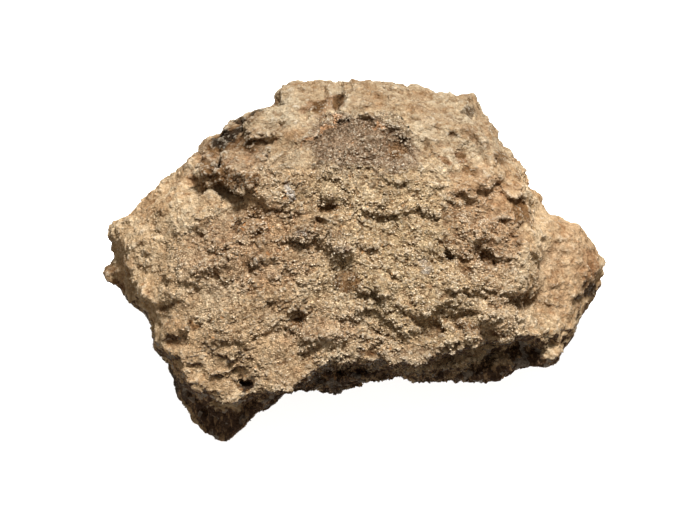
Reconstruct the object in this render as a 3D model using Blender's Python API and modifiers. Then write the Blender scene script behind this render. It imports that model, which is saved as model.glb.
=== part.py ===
"""Fossil cheek horn of a Triceratops: one weathered lump of bone and sandstone, resting on its inner side.

Frame: metres, +Z up, +X to the horn's right, origin under the middle of its box, on the surface it rests on.
The outer face looks forwards and up. Places on it are (across, up, out): millimetres to the right, up the
sloping face and straight out of it, from the middle of the face.
"""

import math

import bmesh
import bpy
import numpy as np
from mathutils import Vector, noise

MM = 0.001

# The main sizes, in millimetres and degrees.
FACE_RISE = 40.0  # how far above the horizon the outer face looks
BACK_DEPTH = 55.0  # from the outer face straight in to the middle of the back
REST_DROP = 34.6  # from the middle of the face down to the surface the horn rests on
EDGE_FRONT = 7.0  # how square the outer face's edge is: 2 is round, 6 is nearly a box
EDGE_BACK = 2.6  # the same on the back
VOXEL = 1.1  # grain of the remesh that evens out the faces
TRIANGLES = 9400  # of the finished surface, before its underside is cut flat

# The horn's rim, seen square on to the outer face: across, up, out.
RIM = [
    # right lobe, from its tip down to the lower right corner
    (49.4, -0.4, -30), (48.6, -3.8, -31), (46.8, -7.6, -29), (43.6, -9.8, -27),
    (42.4, -13.4, -25), (40.2, -17.4, -22), (38.4, -21.2, -19),
    # lower edge, from right to left: the underside, well back behind the lip
    (34.4, -20.4, -18), (31.0, -21.5, -18), (27.4, -22.8, -18), (22.8, -23.8, -18), (18.2, -23.3, -18),
    (13.6, -22.9, -18), (11.4, -23.8, -17), (8.8, -22.8, -18), (4.4, -23.1, -18), (0.0, -24.3, -18),
    (-4.8, -25.4, -18), (-7.2, -24.9, -18), (-10.2, -26.0, -18), (-13.6, -26.8, -18),
    (-16.0, -28.6, -17), (-18.6, -30.2, -16), (-21.0, -32.4, -15),
    # the foot, and up the left side
    (-23.8, -34.6, -13), (-27.4, -33.0, -15), (-30.8, -30.4, -17), (-33.2, -26.8, -18),
    (-34.6, -22.8, -18), (-36.8, -19.0, -18), (-38.2, -15.2, -19), (-39.0, -11.6, -19), (-40.0, -9.6, -21),
    # two knobs on the left end
    (-43.6, -7.6, -24), (-45.4, -5.6, -25), (-47.8, -3.6, -26), (-49.2, -1.8, -27), (-47.4, 0.2, -27),
    (-46.8, 2.0, -26), (-47.9, 5.2, -25), (-45.0, 7.6, -24),
    # up the left shoulder
    (-40.8, 11.6, -23), (-36.8, 15.4, -22), (-31.4, 19.4, -21), (-27.0, 23.0, -21), (-23.6, 26.8, -20),
    (-20.4, 28.4, -20), (-16.6, 29.0, -20), (-15.2, 30.4, -19), (-13.8, 33.0, -19),
    # top edge, from left to right
    (-9.4, 34.6, -20), (-2.4, 34.8, -21), (4.4, 34.6, -22), (9.0, 33.6, -23), (18.2, 31.4, -24),
    (22.8, 31.4, -25),
    # down the right side to the lobe
    (25.2, 28.8, -25), (27.4, 25.2, -25), (29.8, 20.8, -25), (32.2, 18.0, -25), (34.4, 14.2, -26),
    (36.6, 10.0, -27), (39.0, 8.6, -28), (42.6, 7.4, -29), (46.8, 3.4, -30),
]

# The main slopes of the outer face: where each starts, which way it falls away, and how steeply.
SLOPES = [
    ((0, 13), (0, 1), 0.30), ((0, 25), (0.1, 1), 0.80), ((18, 0), (1, 0.1), 0.26), ((34, 0), (1, 0.15), 0.75),
    ((-20, 0), (-1, 0.1), 0.28), ((-35, 0), (-1, 0.1), 0.55), ((-22, 18), (-0.7, 0.7), 0.35),
    ((0, -14), (0, -1), 0.08), ((-22, -24), (-0.5, -1), 0.35), ((30, -14), (0.7, -0.7), 0.3),
]

# Steps in the outer face: how wide the step is, how far its high side stands up and how far back that fades,
# the same for the drop of the low side, and the line of the step, walked with its high side on the left.
STEPS = {
    "front lip": (2.0, 0.8, 7, 8.0, 14, [
        (-32, -22), (-28, -24.4), (-24, -27.0), (-20.5, -25.4), (-17, -25.0), (-12, -23.8), (-8, -20.8),
        (-4, -19.2), (0, -18.6), (4.5, -19.4), (9, -19.8), (13.4, -19.2), (16.6, -17.8), (20, -16.4),
        (25.4, -15.2), (30, -14.6), (33, -15), (35.4, -17), (37.6, -20)]),
    "left edge": (2.4, 0.3, 6, 4.0, 9, [
        (-44.5, 8), (-45, 3), (-43, -3.6), (-39.4, -8.4), (-38.4, -15), (-36, -20)]),
    "lobe cliff": (2.4, 0.8, 8, 5.0, 13, [
        (29.0, -11), (32, -8), (33.6, -3), (34.2, 2), (33.8, 7), (32.4, 12.4)]),
    "shoulder overhang": (5.0, 2.2, 10, 2.2, 10, [
        (-33.0, 16.4), (-27.5, 16.0), (-23.6, 15.0), (-20.0, 13.2), (-17.0, 11.2), (-14.0, 9.4)]),
    "crown block": (2.0, 1.8, 8, 0.7, 5, [
        (-10.5, 31.5), (-8.8, 29), (-6.4, 27.2), (-4, 27), (-2.4, 29), (-1.4, 31.6)]),
    "brow ridge": (1.2, 0.9, 8, 1.3, 9, [
        (-9.6, 21.4), (-6, 24.2), (-2.6, 26.6), (0, 27.4), (4, 26.6), (8, 24.2), (10.4, 20.6)]),
    "brow foot": (3.0, 1.0, 5, 0.4, 6, [(-13, 14.8), (-9, 18.8), (-3, 16.2), (2, 19.2), (8, 15.2), (13, 18.4)]),
    "centre ridge": (3.0, 1.6, 8, 1.2, 8, [
        (-13, 6.6), (-9.6, 5.6), (-6, 3.4), (-3.6, 1.0), (-0.8, 0.4), (1.4, 2.6)]),
    "lower ridge": (3.4, 1.6, 7, 1.6, 8, [(-0.8, -5.4), (4.6, -6.0), (8.6, -8.4), (11.6, -10.4), (15, -11)]),
    "toe bulge": (2.0, 1.5, 6, 1.1, 5, [(-12.6, -13.6), (-9, -15), (-5.6, -15.8), (-2.2, -14.8), (0.4, -12.2)]),
    "right shelf": (2.4, 1.3, 5, 1.3, 6, [(14, 11.6), (19, 12.4), (24, 13.8), (29, 16)]),
    "middle shelf": (2.0, 1.0, 4, 1.1, 5, [(15.6, 2.6), (19, 1.4), (23, 2.2), (27, 0.6), (31, -0.4), (34, 2)]),
    "low shelf": (3.0, 1.6, 5, 1.6, 6, [(15, -8.0), (20, -9.6), (24.6, -11.2), (29, -13.2)]),
    "tuck": (2.0, 0.8, 4, 1.4, 5, [(27, -5.4), (30, -5.6), (33, -5)]),
    "left streak": (2.0, 0.7, 5, 0.7, 6, [(-36, -5), (-31, -4.6), (-26, -3.2), (-21.5, -1.6)]),
    "upper streak": (2.0, 0.6, 5, 0.6, 6, [(-33, 6.8), (-28, 7.4), (-22, 8.8)]),
}
WAVER = 0.9  # how far the lines of steps and hollows stray

# Hollows and lumps of the outer face: across, up, half length, half width, turn in degrees, depth (a lump's
# is below zero).
HOLLOWS = [
    # up the left shoulder
    (-24.2, 22.6, 4.4, 2.1, 38, 5.5), (-20.2, 27.0, 2.4, 1.3, 35, 2.4), (-19.4, 21.0, 3.4, 1.6, 12, 1.8),
    (-27.6, 14.4, 4.6, 1.5, -18, 1.6), (-22.6, 12.8, 3.2, 1.4, -30, 2.6), (-14.6, 10.0, 3.2, 1.5, 8, 1.9),
    # under the crown
    (-7.2, 28.6, 2.4, 1.9, 0, 1.8), (-3.0, 29.8, 1.6, 2.2, -30, 1.7),
    # round the centre
    (-4.4, 12.2, 2.4, 1.8, 0, 2.2), (4.8, 7.4, 3.2, 1.3, -10, 1.8), (-1.4, -1.6, 3.6, 2.1, -15, 1.7),
    (-2.0, -5.2, 2.0, 1.6, 0, 1.4), (-9.8, -10.8, 1.9, 1.5, -20, 2.8), (3.2, -16.6, 2.4, 1.1, 0, 1.8),
    # the left side
    (-20.2, -22.2, 2.3, 1.1, 0, 2.3), (-34.4, -8.8, 2.5, 1.0, 22, 1.6), (-29.4, -11.4, 1.8, 1.1, 0, 1.6),
    (-32.8, -15.2, 2.7, 1.3, 12, 1.6), (-45.2, -5.0, 2.6, 1.5, -30, 2.2),
    # the right side
    (18.4, 4.0, 2.2, 1.0, -15, 1.8), (18.0, -0.2, 3.4, 1.4, -25, 1.3), (25.4, 0.2, 3.4, 1.3, -28, 1.2),
    (26.2, 12.8, 2.8, 1.2, 5, 2.0), (31.4, 8.6, 1.4, 3.0, -15, 2.2), (30.4, 6.4, 2.6, 1.0, 0, 1.8),
    (31.8, -7.2, 3.6, 1.8, 10, 2.8), (23.6, -11.8, 4.8, 1.9, -18, 3.2), (15.2, -13.0, 2.2, 1.4, 20, 2.2),
    (28.6, -17.2, 6.4, 2.0, 4, 3.4), (25.0, 29.6, 2.4, 1.5, -50, 1.6), (29.0, 22.6, 1.6, 1.8, 0, 1.2),
    (46.6, -6.6, 2.6, 2.2, 60, 2.6),
    # lumps: the centre knob and its neighbour, the toe bulge, the right slab
    (-2.3, 3.4, 2.8, 2.4, 0, -1.8), (-10.4, 5.8, 3.4, 1.8, -15, -1.2), (-6.4, -12.6, 4.4, 2.4, 0, -1.1),
    (28.0, -4.4, 4.4, 2.6, 0, -1.1),
    # lumps: two swellings of the right lobe, its foot, the foot's instep, two knobs on the left end
    (43.5, 3.0, 4.0, 3.0, -40, -2.0), (46.6, -2.6, 2.4, 2.8, 0, -2.0), (40.0, -12.0, 4.0, 3.0, 60, -1.2),
    (-24.5, -27.6, 4.0, 2.2, 0, -1.6), (-46.4, 5.0, 2.4, 2.0, 0, -2.2), (-46.2, -2.0, 2.6, 1.8, 20, -2.4),
]

# Old breaks that flatten the back and the sides: where the plane faces, and its distance from the middle.
BREAKS = [
    ("back", (0.10, 0.96, 0.28), 27.5),
    ("back left", (-0.72, 0.62, 0.30), 34.5),
    ("back right", (0.70, 0.66, 0.26), 35.5),
    ("upper back", (-0.10, 0.62, 0.78), 31.0),
    ("upper right", (0.62, 0.28, 0.74), 32.5),
    ("under right", (0.62, -0.34, -0.70), 35.5),
    ("under left", (-0.70, -0.10, -0.70), 36.5),
    ("underside", (0.0, 0.0, -1.0), 25.6),
]
MIDDLE = (0.0, 13.0, -8.0)  # the middle of the block, behind and below the middle of the face
BREAK_GRIP = 0.86  # how much of what stands past a break is taken away

# Lumps and hollows of the back, the sides and the underside, in the horn's own x, y and z from the middle of
# the face: place, half sizes, and how far the surface is pushed along x, y and z.
WORK = [
    ((6, 9, -36), (26, 15, 12), (0, 0, 8.0)),  # the socket under the front edge
    ((24, 22, -34), (14, 13, 10), (0, 0, -3.6)),  # the swellings that it rests on, right and left
    ((-22, -2, -34), (10, 12, 10), (0, 0, 1.4)),
    ((-10, 38, 4), (16, 10, 9), (0, -4.0, -1.5)),  # hollow high on the back
    ((20, 38, -12), (13, 12, 9), (-1, -4.5, 0)),
    ((-30, 30, -14), (12, 12, 9), (3, -3.5, 0)),
    ((2, 42, -22), (18, 9, 7), (0, 3.0, 0)),  # rib low on the back
    ((-8, 22, 15), (14, 6, 6), (0, 0, -2.2)),
    ((14, 26, 13), (12, 7, 6), (0, 0, 1.6)),
    ((40, 10, -6), (8, 12, 8), (-2.5, 0, 0)),
    ((-40, 12, -22), (8, 10, 8), (3.0, 0, 0)),
]

# Rough relief all over: the size of its swells, and how far they stand on the face, the back and the rim.
ROUGHNESS = [(17.0, 0.8, 2.4, 0.0), (8.0, 1.5, 1.8, 0.7), (4.2, 1.3, 1.2, 1.0), (2.6, 0.8, 0.7, 0.7)]
BEDDING = (0.95, 0.10, 0.30)  # the way the streaks of the relief run
STREAKS = 0.45  # how far the relief is drawn out along them
RIM_WEAR = 0.45  # how far the relief of the rim is worn in, so that none of it stands past the rim
SOFTENING = 0.35  # wears the sharpest flakes off the even mesh, twice

CRUST = {"colour": (0.42, 0.29, 0.165, 1.0), "roughness": 0.92, "metallic": 0.0}


def face_axes():
    """The outer face's across, up and out directions, in the horn's x, y and z."""
    rise = math.radians(FACE_RISE)
    up = (0.0, math.sin(rise), math.cos(rise))
    out = (0.0, -math.cos(rise), math.sin(rise))
    return np.array([(1.0, 0.0, 0.0), up, out])


def smooth(value):
    """0 below 0, 1 above 1, and a soft change in between."""
    value = np.clip(value, 0, 1)
    return value * value * (3 - 2 * value)


def rim_at(angle):
    """Distance from the middle, and depth, of the rim at each angle round the outer face."""
    rim = np.array(RIM, float)
    turn = np.arctan2(rim[:, 1], rim[:, 0])
    order = np.argsort(turn)
    reach = np.hypot(rim[:, 0], rim[:, 1])
    radius = np.interp(angle, turn[order], reach[order], period=2 * math.pi)
    depth = np.interp(angle, turn[order], rim[order, 2], period=2 * math.pi)
    return radius, depth


def slopes(place):
    """The level of the bare outer face, before its steps and hollows."""
    level = np.zeros(len(place))
    for start, way, fall in SLOPES:
        way = np.array(way, float) / np.hypot(*way)
        past = (place - np.array(start)) @ way
        level -= fall * np.logaddexp(0, past / 2.5) * 2.5
    return level


def step(place, width, height, high_fade, drop, low_fade, line):
    """One step: the ground to the left of the line stands up, the ground to its right falls."""
    line = np.array(line, float)
    best = np.full(len(place), np.inf)
    side = np.zeros(len(place))
    along = np.zeros(len(place))
    walked = 0.0
    for a, b in zip(line[:-1], line[1:]):
        run = b - a
        length = np.hypot(*run)
        part = np.clip((place - a) @ run / length**2, 0, 1)
        away = place - a - part[:, None] * run
        distance = np.hypot(away[:, 0], away[:, 1])
        near = distance < best
        best = np.where(near, distance, best)
        left = np.sign(run[0] * away[:, 1] - run[1] * away[:, 0])
        side = np.where(near, left, side)
        along = np.where(near, walked + part * length, along)
        walked += length
    ends = smooth(np.minimum(along, walked - along) / 3.0)
    signed = best * side
    raised = height * smooth(1 - signed / high_fade)
    sunk = -drop * smooth(1 + signed / low_fade)
    return ends * (sunk + (raised - sunk) * smooth(0.5 + signed / width))


def hollow(place, across, up, half_length, half_width, turn, depth):
    """One oval bowl, or a lump where the depth is below zero."""
    turn = math.radians(turn)
    x, y = place[:, 0] - across, place[:, 1] - up
    long_way = (x * math.cos(turn) + y * math.sin(turn)) / half_length
    wide_way = (y * math.cos(turn) - x * math.sin(turn)) / half_width
    inside = np.clip(1.3 - long_way**2 - wide_way**2, 0, 1)
    return -depth * smooth(inside)


def outer_face(place):
    """How far out the outer face lies at each place on it."""
    level = slopes(place)
    stray = [noise.noise_vector(Vector((*p, 0)) / 4.5)[:2] for p in place]
    place = place + WAVER * np.array(stray)
    for one_step in STEPS.values():
        level += step(place, *one_step)
    for bowl in HOLLOWS:
        level += hollow(place, *bowl)
    return level


def shaped_block(sphere):
    """The points of a unit sphere moved onto the block, and how far inside its rim each of them lies."""
    angle = np.arctan2(sphere[:, 1], sphere[:, 0])
    radius, rim_depth = rim_at(angle)
    lean = np.arctan2(np.abs(sphere[:, 2]), np.hypot(sphere[:, 0], sphere[:, 1]))
    front = sphere[:, 2] > 0
    square = np.where(front, EDGE_FRONT, EDGE_BACK)
    size = (np.cos(lean) ** square + np.sin(lean) ** square) ** (1 / square)
    spread = np.cos(lean) / size
    rise = np.sin(lean) / size
    place = np.stack([np.cos(angle), np.sin(angle)], 1) * (spread * radius)[:, None]
    level = np.where(front, outer_face(place), -BACK_DEPTH)
    out = rim_depth + rise * (level - rim_depth)
    return np.column_stack([place, out]) @ face_axes(), 1 - spread


def broken(points, behind):
    """The points with the old breaks taken off, softly, behind the rim."""
    for _name, facing, distance in BREAKS:
        facing = np.array(facing) / np.linalg.norm(facing)
        past = (points - np.array(MIDDLE)) @ facing - distance
        taken = np.logaddexp(0, past / 1.2) * 1.2 * BREAK_GRIP * behind
        points = points - np.outer(taken, facing)
    return points


def worked(points, behind):
    """The points with the lumps and hollows of the back and the underside."""
    for place, half, push in WORK:
        near = np.linalg.norm((points - np.array(place)) / np.array(half), axis=1)
        points = points + np.outer(smooth(1.15 - near) * behind, push)
    return points


def roughened(points, normals, inland, behind):
    """The points with the swells that cover the whole horn; along the rim they mostly wear it in."""
    bedding = np.array(BEDDING) / np.linalg.norm(BEDDING)
    drawn_out = points - STREAKS * np.outer(points @ bedding, bedding)
    offset = np.zeros(len(points))
    for size, stand_front, stand_back, stand_rim in ROUGHNESS:
        stand = stand_rim + (stand_front - stand_rim) * inland + (stand_back - stand_front) * behind
        swell = [noise.noise(Vector(p) / size, noise_basis="PERLIN_NEW") for p in drawn_out]
        offset += stand * (np.array(swell) - RIM_WEAR * (1 - inland))
    return points + normals * offset[:, None]


def read_points(mesh):
    points = np.empty(len(mesh.vertices) * 3)
    mesh.vertices.foreach_get("co", points)
    return points.reshape(-1, 3)


def read_normals(mesh):
    normals = np.empty(len(mesh.vertices) * 3)
    mesh.vertices.foreach_get("normal", normals)
    return normals.reshape(-1, 3)


def write_points(mesh, points):
    mesh.vertices.foreach_set("co", points.ravel())
    mesh.update()


def crust_material():
    material = bpy.data.materials.new("sandstone_crust")
    material.use_nodes = True
    shader = material.node_tree.nodes["Principled BSDF"]
    shader.inputs["Base Color"].default_value = CRUST["colour"]
    shader.inputs["Roughness"].default_value = CRUST["roughness"]
    shader.inputs["Metallic"].default_value = CRUST["metallic"]
    return material


def new_collection(name):
    collection = bpy.data.collections.new(name)
    bpy.context.scene.collection.children.link(collection)
    return collection


def rough_horn(collection):
    """The horn's whole form, in an even mesh, still reaching below the surface that it rests on."""
    bpy.ops.mesh.primitive_ico_sphere_add(subdivisions=7, radius=1.0)
    horn = bpy.context.object
    horn.name = "cheek_horn"
    for owner in horn.users_collection:
        owner.objects.unlink(horn)
    collection.objects.link(horn)
    mesh = horn.data
    mesh.name = "cheek_horn"
    sphere = read_points(mesh)
    block, inside = shaped_block(sphere)
    inland = smooth(inside / 0.12)
    behind = smooth(-sphere[:, 2] / 0.7)
    points = worked(broken(block, behind), behind)
    write_points(mesh, points)
    points = roughened(points, read_normals(mesh), inland, behind) + (0, 0, REST_DROP)
    write_points(mesh, points * MM)
    remesh = horn.modifiers.new("even faces", "REMESH")
    remesh.mode = "VOXEL"
    remesh.voxel_size = VOXEL * MM
    soften = horn.modifiers.new("worn flakes", "SMOOTH")
    soften.factor = SOFTENING
    soften.iterations = 2
    graph = bpy.context.evaluated_depsgraph_get()
    even = bpy.data.meshes.new_from_object(horn.evaluated_get(graph))
    horn.modifiers.clear()
    keep_outer_surface(even)
    horn.data = even
    return horn


def keep_outer_surface(mesh):
    """Takes out what the remesh leaves apart from the outer surface: sealed pockets and loose crumbs."""
    surface = bmesh.new()
    surface.from_mesh(mesh)
    left = set(surface.verts)
    islands = []
    while left:
        island = {left.pop()}
        edge_of_island = list(island)
        while edge_of_island:
            near = {edge.other_vert(vert) for vert in edge_of_island for edge in vert.link_edges}
            edge_of_island = list(near - island)
            island |= near
        left -= island
        islands.append(island)
    outer = max(islands, key=len)
    bmesh.ops.delete(surface, geom=[vert for vert in surface.verts if vert not in outer], context="VERTS")
    surface.to_mesh(mesh)
    surface.free()


def thin_out(horn):
    """Fewer, larger faces where the surface is flat."""
    faces = sum(len(face.vertices) - 2 for face in horn.data.polygons)
    decimate = horn.modifiers.new("fewer faces", "DECIMATE")
    decimate.ratio = TRIANGLES / faces


def cut_underside(horn, cutters):
    """Cuts the underside flat at the surface that the horn rests on."""
    depth = 40 * MM
    bpy.ops.mesh.primitive_cube_add(size=1.0, location=(0, 0, -depth / 2))
    slab = bpy.context.object
    slab.name = "underside_cutter"
    for owner in slab.users_collection:
        owner.objects.unlink(slab)
    cutters.objects.link(slab)
    slab.scale = (0.2, 0.2, depth)
    slab.hide_render = True
    slab.display_type = "WIRE"
    cut = horn.modifiers.new("flat underside", "BOOLEAN")
    cut.operation = "DIFFERENCE"
    cut.object = slab


def centre(horn):
    """Moves the horn so that its box stands over the origin."""
    points = read_points(horn.data)
    middle = (points.min(0) + points.max(0)) / 2
    write_points(horn.data, points - (middle[0], middle[1], 0))


def main():
    for obj in list(bpy.data.objects):
        bpy.data.objects.remove(obj)
    horn = rough_horn(new_collection("fossil_cheek_horn"))
    centre(horn)
    thin_out(horn)
    cut_underside(horn, new_collection("cutters"))
    horn.data.materials.append(crust_material())


main()
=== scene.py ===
# Dresses the fossil cheek horn: a lump of old bone under a rough sandstone crust.
# A place on its outer face is (across, up), in millimetres from the middle of that face.

import math

import bmesh
import bpy
import numpy as np
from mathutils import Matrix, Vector, noise


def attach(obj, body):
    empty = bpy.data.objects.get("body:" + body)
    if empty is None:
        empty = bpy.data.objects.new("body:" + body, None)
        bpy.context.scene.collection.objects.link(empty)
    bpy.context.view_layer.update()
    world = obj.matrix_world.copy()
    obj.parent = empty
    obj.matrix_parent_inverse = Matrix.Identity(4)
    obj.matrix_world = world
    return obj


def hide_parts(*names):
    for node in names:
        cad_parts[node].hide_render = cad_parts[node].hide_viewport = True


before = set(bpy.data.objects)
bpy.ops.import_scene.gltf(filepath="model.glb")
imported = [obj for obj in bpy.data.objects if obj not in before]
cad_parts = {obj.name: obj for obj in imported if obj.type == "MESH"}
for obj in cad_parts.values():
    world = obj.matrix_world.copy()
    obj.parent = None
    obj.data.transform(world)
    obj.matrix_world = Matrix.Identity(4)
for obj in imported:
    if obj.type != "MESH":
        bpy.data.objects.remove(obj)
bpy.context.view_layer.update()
bpy.ops.object.select_all(action="DESELECT")
mm = 0.001

# the outer face: its middle in metres, and how many degrees above the horizon it looks
face = {"middle": (-0.0005, -0.0170, 0.0346), "rise": 40.0}
rise = math.radians(face["rise"])
acrossWay = np.array((1.0, 0.0, 0.0))
upWay = np.array((0.0, math.sin(rise), math.cos(rise)))
outWay = np.array((0.0, -math.cos(rise), math.sin(rise)))

# the camera, the floor and the lights
studio = {
    "away": 0.779,  # camera to the face, metres
    "lens": 217.8,
    "aim": (-0.6, -0.3),  # where it looks, across and up the face
    "floor": (0.86, 0.85, 0.84),
    "floorSize": 6.0,
    "floorRoughness": 0.9,
    "key": 6.7,  # watts
    "keyFrom": (0.09, -0.07, 0.60),
    "keySize": 0.12,
    "floorGlow": 3.5,  # a second lamp that lights the floor alone
    "glowFrom": (0, 0, 0.6),
    "sky": 0.30,
    "skyTone": (1.0, 0.91, 0.78),
}


def newMaterial(name):
    material = bpy.data.materials.new(name)
    material.use_nodes = True
    return material, material.node_tree, material.node_tree.nodes["Principled BSDF"]


def addCamera():
    across, up = studio["aim"]
    aim = Vector(np.array(face["middle"]) + (across * acrossWay + up * upWay) * mm)
    camera = bpy.data.objects.new("camera", bpy.data.cameras.new("camera"))
    camera.location = aim + Vector(outWay) * studio["away"]
    camera.rotation_euler = (-Vector(outWay)).to_track_quat("-Z", "Y").to_euler()
    camera.data.lens = studio["lens"]
    camera.data.clip_start = 0.01
    bpy.context.collection.objects.link(camera)
    bpy.context.scene.camera = camera


def addFloor():
    bpy.ops.mesh.primitive_plane_add(size=studio["floorSize"], location=(0, 0, 0))
    floor = bpy.context.object
    floor.name = "floor"
    paper, tree, shader = newMaterial("palePaper")
    shader.inputs["Base Color"].default_value = (*studio["floor"], 1)
    shader.inputs["Roughness"].default_value = studio["floorRoughness"]
    floor.data.materials.append(paper)
    floor.visible_diffuse = False
    return floor


def addLamp(name, kind, energy, spot):
    lamp = bpy.data.objects.new(name, bpy.data.lights.new(name, kind))
    lamp.data.energy = energy
    lamp.location = spot
    lamp.rotation_euler = (-Vector(spot)).to_track_quat("-Z", "Y").to_euler()
    bpy.context.collection.objects.link(lamp)
    return lamp


def addLights(floor):
    key = addLamp("key", "AREA", studio["key"], studio["keyFrom"])
    key.data.size = studio["keySize"]
    glow = addLamp("floorGlow", "SUN", studio["floorGlow"], studio["glowFrom"])
    floorAlone = bpy.data.collections.new("floor alone")
    floorAlone.objects.link(floor)
    glow.light_linking.receiver_collection = floorAlone
    glow.light_linking.blocker_collection = floorAlone
    world = bpy.data.worlds.new("sky")
    world.use_nodes = True
    world.node_tree.nodes["Background"].inputs["Color"].default_value = (*studio["skyTone"], 1)
    world.node_tree.nodes["Background"].inputs["Strength"].default_value = studio["sky"]
    bpy.context.scene.world = world
    bpy.context.scene.view_settings.view_transform = "Standard"


addCamera()
addLights(addFloor())
print("studio made")


# helpers that read, write and measure meshes
def coordinates(mesh):
    flat = np.empty(len(mesh.vertices) * 3)
    mesh.vertices.foreach_get("co", flat)
    return flat.reshape(-1, 3)


def normals(mesh):
    flat = np.empty(len(mesh.vertices) * 3)
    mesh.vertices.foreach_get("normal", flat)
    return flat.reshape(-1, 3)


def setCoordinates(mesh, points):
    mesh.vertices.foreach_set("co", points.ravel())
    mesh.update()


def countTriangles(mesh):
    return sum(len(polygon.vertices) - 2 for polygon in mesh.polygons)


def keepValues(mesh, name, values):
    attribute = mesh.attributes.new(name, "FLOAT", "POINT")
    attribute.data.foreach_set("value", np.asarray(values, np.float32))


def readValues(mesh, name):
    values = np.empty(len(mesh.vertices), np.float32)
    mesh.attributes[name].data.foreach_get("value", values)
    return values.astype(float)


def neighbourMean(mesh, values, turns):  # values softened over the surface
    ends = np.empty(len(mesh.edges) * 2, int)
    mesh.edges.foreach_get("vertices", ends)
    first, second = ends.reshape(-1, 2).T
    count = np.bincount(ends, minlength=len(values))
    for _ in range(turns):
        sums = np.bincount(first, values[second], len(values))
        sums = sums + np.bincount(second, values[first], len(values))
        values = 0.5 * values + 0.5 * sums / count
    return values


def facePlaces(points):  # across, up and out of each point, in millimetres
    away = (points - np.array(face["middle"])) / mm
    return away @ acrossWay, away @ upWay, away @ outWay


def ease(value):  # 0 below 0, 1 above 1, soft between
    value = np.clip(value, 0, 1)
    return value * value * (3 - 2 * value)


def swell(points, size, seed):  # smooth noise, about -1 to 1, of that size in millimetres
    seen = points / (size * mm) + seed
    return np.array([noise.noise(p, noise_basis="PERLIN_NEW") for p in map(Vector, seen.tolist())])


def fray(points, size, amount, seed):  # a ragged shift of places, in millimetres
    return amount * swell(points, size, seed), amount * swell(points, size, seed + 31.7)


def frayedPlaces(points, layers):  # as facePlaces, but ragged; a layer is its size, amount and seed
    a, u, o = facePlaces(points)
    for layer in layers:
        shift = fray(points, *layer)
        a, u = a + shift[0], u + shift[1]
    return a, u, o


def ovalDistance(a, u, at, half, turn):  # 1 on the oval's edge
    c, s = math.cos(math.radians(turn)), math.sin(math.radians(turn))
    x, y = a - at[0], u - at[1]
    return np.hypot((x * c + y * s) / half[0], (y * c - x * s) / half[1])


def dab(a, u, at, half, turn, reach, soft=1.0):  # 1 inside the oval, 0 from reach times its size on
    return ease((reach - ovalDistance(a, u, at, half, turn)) / soft)


def lineDistance(a, u, line):  # distance, side (left is above 0) and share of the way along the line
    line = np.array(line, float)
    best = np.full(len(a), np.inf)
    side, along, walked = np.zeros(len(a)), np.zeros(len(a)), 0.0
    for p, q in zip(line[:-1], line[1:]):
        run = q - p
        length = np.hypot(*run)
        x, y = a - p[0], u - p[1]
        share = np.clip((x * run[0] + y * run[1]) / length**2, 0, 1)
        dx, dy = x - share * run[0], y - share * run[1]
        distance = np.hypot(dx, dy)
        near = distance < best
        best = np.where(near, distance, best)
        side = np.where(near, np.sign(run[0] * dy - run[1] * dx), side)
        along = np.where(near, walked + share * length, along)
        walked += length
    return best, side, along / walked


def applyModifier(piece, kind, **settings):
    modifier = piece.modifiers.new(kind.lower(), kind)
    for key, value in settings.items():
        setattr(modifier, key, value)
    bpy.context.view_layer.objects.active = piece
    bpy.ops.object.modifier_apply(modifier=modifier.name)


def addPiece(name, mesh):  # a new object with its own copy of the mesh
    piece = bpy.data.objects.new(name, mesh.copy())
    piece.data.name = name
    bpy.context.collection.objects.link(piece)
    return piece


# the horn's form, in millimetres
horn = {
    "firstVoxel": 0.42,
    "lastVoxel": 0.36,
    "softening": 10,
    "hollowDepth": 0.55,
    "overhang": 0.22,  # how far a form leans down the face for each millimetre it stands out
    "frays": [(2.6, 0.6, 0.0), (1.1, 0.5, 5.0)],  # how ragged the forms' edges are: size, amount, seed
    "ledgeFoot": 0.6,  # how far a ledge's foot goes in, as a share of its height
    "underQuiet": 0.4,  # how much quieter the relief is underneath
    "triangles": 197000,
    "hiddenShare": 1.1,  # the hidden faces are thinned until this many times the triangles are left
}

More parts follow.
